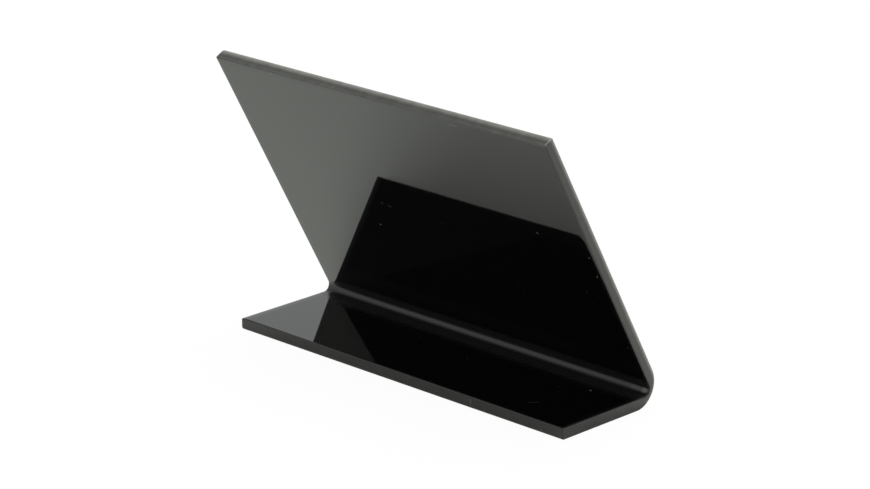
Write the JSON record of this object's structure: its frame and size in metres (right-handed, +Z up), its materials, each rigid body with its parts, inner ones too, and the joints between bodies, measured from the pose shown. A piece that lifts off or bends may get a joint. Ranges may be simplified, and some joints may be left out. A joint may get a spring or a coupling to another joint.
{
  "type": "tabletop chalkboard",
  "caption": "Tabletop chalkboard: a single gloss black acrylic sheet folded into a slanted L, so the writing board leans back over its flat foot.",
  "frame": {"origin": "on the table surface under the foot, in the middle of the overall width and depth", "axes": "+X along the fold, +Y from the writing face back over the foot, +Z up"},
  "size_m": [0.1052, 0.0376, 0.0706],
  "materials": {
    "black_acrylic": "deep gloss black cast acrylic, cut edges flame polished"
  },
  "bodies": {
    "root": {"chalkboard_sheet": "black_acrylic"}
  },
  "joints": []
}
